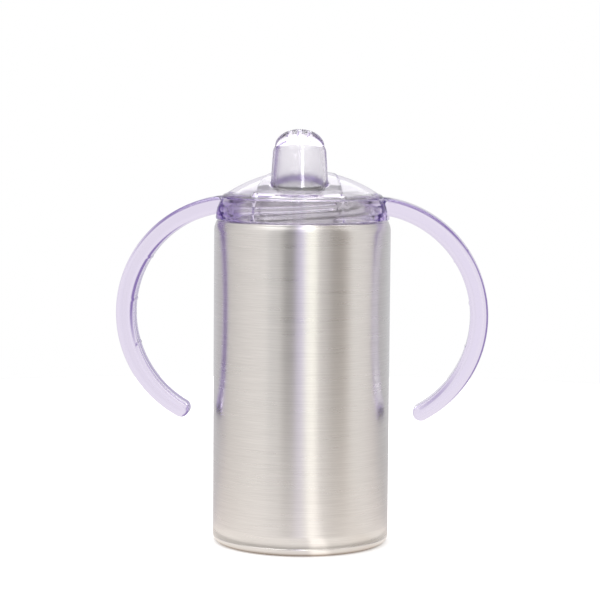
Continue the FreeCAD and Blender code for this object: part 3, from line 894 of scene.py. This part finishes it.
def floor():
    """A plain pale round floor. Mirrors see its rings and bands instead, a glowing pattern of
    painted contact shadow under the cup's base edge and painted light and reflections round it,
    which fade out at its edge, and light that comes through the clear plastic passes it by."""
    a = angles(96)
    points = [(FLOOR_REACH * math.cos(t), FLOOR_REACH * math.sin(t), 0) for t in a]
    mesh = bpy.data.meshes.new("floor")
    mesh.from_pydata(points, [], [tuple(range(96))])
    piece = bpy.data.objects.new("floor", mesh)
    bpy.context.scene.collection.objects.link(piece)
    made, nodes, links, shader = new_material("pale_floor")
    shader.inputs["Base Color"].default_value = (0.9, 0.895, 0.89, 1)
    shader.inputs["Roughness"].default_value = 0.9
    shader.inputs["Specular IOR Level"].default_value = 0.1
    shader.inputs["Emission Color"].default_value = (1, 1, 1, 1)
    shader.inputs["Emission Strength"].default_value = 0.25
    where = add_node(nodes, "ShaderNodeTexCoord")
    distance = add_node(nodes, "ShaderNodeVectorMath", operation="LENGTH")
    links.new(where.outputs["Object"], distance.inputs[0])
    share = add_node(nodes, "ShaderNodeMath", operation="DIVIDE")
    share.inputs[1].default_value = FLOOR_REACH
    links.new(distance.outputs["Value"], share.inputs[0])
    # painted contact shadow and painted lit floor, by distance from the axis
    rings = add_node(nodes, "ShaderNodeValToRGB")
    set_stops(rings.color_ramp, FLOOR_PAINTED_SHADOW_AND_LIGHT_RINGS)
    links.new(share.outputs[0], rings.inputs["Fac"])
    painted_light_tone = add_node(nodes, "ShaderNodeMix", data_type="RGBA", blend_type="MULTIPLY")
    painted_light_tone.inputs["Factor"].default_value = 1.0
    links.new(rings.outputs["Color"], painted_light_tone.inputs["A"])
    links.new(bands_round(nodes, links, where.outputs["Object"], FLOOR_PAINTED_LIGHT_AND_SHADE_BANDS), painted_light_tone.inputs["B"])
    # the painted shadow and light glow as an emission for mirror rays only
    painted_reflection_glow = add_node(nodes, "ShaderNodeEmission")
    links.new(painted_light_tone.outputs["Result"], painted_reflection_glow.inputs["Color"])
    clear = add_node(nodes, "ShaderNodeBsdfTransparent")
    fade = add_node(nodes, "ShaderNodeMapRange", interpolation_type="SMOOTHSTEP")
    fade.inputs["From Min"].default_value = 0.35
    fade.inputs["From Max"].default_value = 1.0
    links.new(share.outputs[0], fade.inputs["Value"])
    mirrored = add_node(nodes, "ShaderNodeMixShader")
    links.new(fade.outputs["Result"], mirrored.inputs["Fac"])
    links.new(painted_reflection_glow.outputs[0], mirrored.inputs[1])
    links.new(clear.outputs[0], mirrored.inputs[2])
    pick = add_node(nodes, "ShaderNodeMixShader")
    links.new(mirror_ray(nodes, links), pick.inputs["Fac"])
    links.new(shader.outputs["BSDF"], pick.inputs[1])
    links.new(mirrored.outputs[0], pick.inputs[2])
    ray = add_node(nodes, "ShaderNodeLightPath")
    open_to_sky = add_node(nodes, "ShaderNodeMixShader")
    links.new(ray.outputs["Is Transmission Ray"], open_to_sky.inputs["Fac"])
    links.new(pick.outputs[0], open_to_sky.inputs[1])
    links.new(clear.outputs[0], open_to_sky.inputs[2])
    links.new(open_to_sky.outputs[0], nodes["Material Output"].inputs["Surface"])
    paint(piece, made)


def mirror_ray(nodes, links):
    """1 for light that leaves a surface as a glossy reflection, 0 for all other light."""
    ray = add_node(nodes, "ShaderNodeLightPath")
    both = add_node(nodes, "ShaderNodeMath", operation="MULTIPLY")
    links.new(ray.outputs["Is Glossy Ray"], both.inputs[0])
    links.new(ray.outputs["Is Reflection Ray"], both.inputs[1])
    return both.outputs[0]


def bands_round(nodes, links, vector, stops):
    """Colour by the direction of a vector round the object's axis."""
    split = add_node(nodes, "ShaderNodeSeparateXYZ")
    links.new(vector, split.inputs["Vector"])
    flip = add_node(nodes, "ShaderNodeMath", operation="MULTIPLY")
    flip.inputs[1].default_value = -1.0
    links.new(split.outputs["Y"], flip.inputs[0])
    turn = add_node(nodes, "ShaderNodeMath", operation="ARCTAN2")
    links.new(split.outputs["X"], turn.inputs[0])
    links.new(flip.outputs[0], turn.inputs[1])
    share = add_node(nodes, "ShaderNodeMapRange")
    share.inputs["From Min"].default_value = -math.pi
    share.inputs["From Max"].default_value = math.pi
    links.new(turn.outputs[0], share.inputs["Value"])
    bands = add_node(nodes, "ShaderNodeValToRGB")
    set_stops(bands.color_ramp, [((degrees + 180) / 360, colour) for degrees, colour in stops])
    links.new(share.outputs["Result"], bands.inputs["Fac"])
    return bands.outputs["Color"]


def set_stops(colours, stops):
    """Fills a colour ramp with (place, colour) stops."""
    colours.elements[0].position = stops[0][0]
    colours.elements[0].color = (*stops[0][1], 1)
    colours.elements[1].position = stops[-1][0]
    colours.elements[1].color = (*stops[-1][1], 1)
    for position, colour in stops[1:-1]:
        colours.elements.new(position).color = (*colour, 1)


def area_light(name, place, aim, size, power):
    data = bpy.data.lights.new(name, "AREA")
    data.shape = "RECTANGLE"
    data.size, data.size_y = size
    data.energy = power
    lamp = bpy.data.objects.new(name, data)
    lamp.location = place
    lamp.rotation_mode = "QUATERNION"
    lamp.rotation_quaternion = (Vector(aim) - Vector(place)).to_track_quat("-Z", "Y")
    bpy.context.scene.collection.objects.link(lamp)
    lamp.visible_camera = False
    return lamp


# The studio as a mirror sees it: degrees from the front towards +X, and colour.
# Two broad soft panels at the sides, a gap to each side of a narrow front strip, and a dim back.
SKY_BANDS = (
    (-180, (0.73, 0.73, 0.76)),
    (-140, (0.70, 0.69, 0.72)),
    (-118, (0.64, 0.60, 0.64)),
    (-104, (0.82, 0.79, 0.77)),
    (-70, (0.98, 0.94, 0.92)),
    (-43, (1.00, 0.97, 0.95)),
    (-38, (0.76, 0.75, 0.75)),
    (-26, (0.76, 0.74, 0.73)),
    (-17, (0.29, 0.28, 0.28)),
    (-7, (0.27, 0.26, 0.26)),
    (-1, (0.72, 0.66, 0.92)),
    (6, (0.92, 0.86, 1.15)),
    (9, (1.42, 1.42, 1.30)),
    (21, (1.45, 1.44, 1.32)),
    (25, (0.80, 0.77, 0.76)),
    (36, (0.66, 0.63, 0.62)),
    (45, (0.40, 0.37, 0.35)),
    (58, (0.42, 0.38, 0.35)),
    (68, (0.78, 0.73, 0.70)),
    (73, (1.00, 0.97, 0.94)),
    (94, (0.98, 0.94, 0.92)),
    (112, (0.80, 0.76, 0.76)),
    (124, (0.64, 0.62, 0.65)),
    (150, (0.70, 0.70, 0.72)),
    (180, (0.73, 0.73, 0.76)),
)
# Overhead it is this many times brighter; the change lies between two sines of the height angle.
OVERHEAD = 5.0
OVERHEAD_FROM = (0.72, 0.86)

# The studio as it is seen through the clear plastic: pale, with a dim lilac panel on the left.
CLEAR_BANDS = (
    (-180, (0.98, 0.97, 0.97)),
    (-161, (0.97, 0.96, 0.97)),
    (-155, (0.30, 0.22, 0.48)),
    (-128, (0.30, 0.22, 0.48)),
    (-112, (0.42, 0.34, 0.56)),
    (-104, (0.90, 0.88, 0.92)),
    (0, (0.92, 0.91, 0.93)),
    (180, (0.97, 0.96, 0.97)),
)
# Lower down, the dim panel reaches round behind; the change lies between two sines as above.
CLEAR_LOW_BANDS = (
    (-180, (0.30, 0.22, 0.48)),
    (-128, (0.30, 0.22, 0.48)),
    (-112, (0.42, 0.34, 0.56)),
    (-104, (0.90, 0.88, 0.92)),
    (0, (0.92, 0.91, 0.93)),
    (160, (0.97, 0.96, 0.97)),
    (172, (0.30, 0.22, 0.48)),
    (180, (0.30, 0.22, 0.48)),
)
CLEAR_LOW_FROM = (-0.34, -0.22)


def studio_sky():
    """White to look at and as light; mirrors and the clear plastic see their own bands."""
    world = bpy.data.worlds.new("studio")
    bpy.context.scene.world = world
    world.use_nodes = True
    nodes, links = world.node_tree.nodes, world.node_tree.links
    back = nodes["Background"]
    direction = add_node(nodes, "ShaderNodeTexCoord").outputs["Generated"]
    split = add_node(nodes, "ShaderNodeSeparateXYZ")
    links.new(direction, split.inputs["Vector"])
    overhead = add_node(nodes, "ShaderNodeVectorMath", operation="SCALE")
    links.new(bands_round(nodes, links, direction, SKY_BANDS), overhead.inputs[0])
    links.new(ramp(nodes, links, split.outputs["Z"], 1.0, OVERHEAD, *OVERHEAD_FROM),
              overhead.inputs["Scale"])
    pick = add_node(nodes, "ShaderNodeMix", data_type="RGBA")
    links.new(mirror_ray(nodes, links), pick.inputs["Factor"])
    links.new(overhead.outputs[0], pick.inputs["B"])
    ray = add_node(nodes, "ShaderNodeLightPath")
    through = add_node(nodes, "ShaderNodeMix", data_type="RGBA")
    links.new(ray.outputs["Is Transmission Ray"], through.inputs["Factor"])
    through.inputs["A"].default_value = (1, 1, 1, 1)
    lower = add_node(nodes, "ShaderNodeMix", data_type="RGBA")
    links.new(ramp(nodes, links, split.outputs["Z"], 1.0, 0.0, *CLEAR_LOW_FROM),
              lower.inputs["Factor"])
    links.new(bands_round(nodes, links, direction, CLEAR_BANDS), lower.inputs["A"])
    links.new(bands_round(nodes, links, direction, CLEAR_LOW_BANDS), lower.inputs["B"])
    links.new(lower.outputs["Result"], through.inputs["B"])
    links.new(through.outputs["Result"], pick.inputs["A"])
    links.new(pick.outputs["Result"], back.inputs["Color"])
    back.inputs["Strength"].default_value = 1.0


# Upright strip light, by distance and by angle from the front towards +X.
STRIP_DISTANCE = 1.0
STRIP_AZIMUTH_DEG = 7.3
STRIP_HEIGHT = 0.26
STRIP_PLACE = (STRIP_DISTANCE * math.sin(math.radians(STRIP_AZIMUTH_DEG)),
               -STRIP_DISTANCE * math.cos(math.radians(STRIP_AZIMUTH_DEG)), STRIP_HEIGHT)
LID_AIM = (0, 0, 0.15)
BOUNCES = 28                        # light runs a long way inside clear plastic

CAMERA_DISTANCE = 0.900
CAMERA_HEIGHT = 0.182
CAMERA_AZIMUTH_DEG = 3.7
CAMERA_ROLL_DEG = 0.45
AIM_X = -0.0008
AIM_HEIGHT = 0.1008
LENS = 130.7


def camera():
    data = bpy.data.cameras.new("camera")
    data.lens = LENS
    data.sensor_width = 36.0
    data.clip_start, data.clip_end = 0.05, 50.0
    made = bpy.data.objects.new("camera", data)
    bpy.context.scene.collection.objects.link(made)
    turn = math.radians(CAMERA_AZIMUTH_DEG)
    made.location = (CAMERA_DISTANCE * math.sin(turn), -CAMERA_DISTANCE * math.cos(turn),
                     CAMERA_HEIGHT)
    aim = Vector((AIM_X, 0, AIM_HEIGHT)) - made.location
    look = aim.to_track_quat("-Z", "Y")
    made.rotation_mode = "QUATERNION"
    made.rotation_quaternion = look @ Quaternion((0, 0, 1), math.radians(CAMERA_ROLL_DEG))
    bpy.context.scene.camera = made


# ---------------------------------------------------------------- put it together
def place(piece, body, node, slot, material):
    paint(piece, material)
    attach(piece, body)
    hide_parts(node)


steel = brushed_steel()
inside_steel = satin_steel("satin_steel", (0.66, 0.655, 0.65), 0.28)
plain_steel = satin_steel("pressed_steel", (0.52, 0.52, 0.53), 0.38)
plastic = clear_plastic()

place(outer_shell(), "cup", "outer_shell", "outer_steel", steel)
place(outer_base(), "cup", "outer_base", "outer_steel", steel)
place(base_cover(), "cup", "base_cover", "cover_steel", steel)
place(inner_liner(), "cup", "inner_liner", "inner_steel", inside_steel)
place(inner_base(), "cup", "inner_base", "inner_steel", inside_steel)
place(lid(), "lid", "lid", "lilac_plastic", plastic)
place(lip_gasket(), "lid", "lip_gasket", "clear_silicone", silicone())
place(handle_ring(), "handles", "handle_ring", "lilac_plastic", plastic)
paint(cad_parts["getter"], getter_alloy())
paint(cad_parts["getter_holder"], plain_steel)
paint(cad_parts["seal_bead"], seal_glass())

floor()
studio_sky()
area_light("top", (-0.2, 0.1, 1.6), (0, 0, 0.05), (1.0, 1.0), 9)
lid_only = bpy.data.collections.new("lid_only")
lid_only.objects.link(bpy.data.objects["clear_lid"])
for lamp in (
    area_light("lid_strip", STRIP_PLACE, (0, SPOUT_Y, 0.16), (0.13, 0.5), 2.4),
    area_light("lid_back", (0, 0.9, 0.95), LID_AIM, (1.8, 0.8), 3.2),
    area_light("lid_front", (0, -0.8, 0.8), LID_AIM, (1.2, 0.4), 2.5),
):
    lamp.light_linking.receiver_collection = lid_only
camera()
bpy.context.scene.view_settings.view_transform = "Standard"
paths = bpy.context.scene.cycles
paths.max_bounces = paths.glossy_bounces = paths.transmission_bounces = BOUNCES
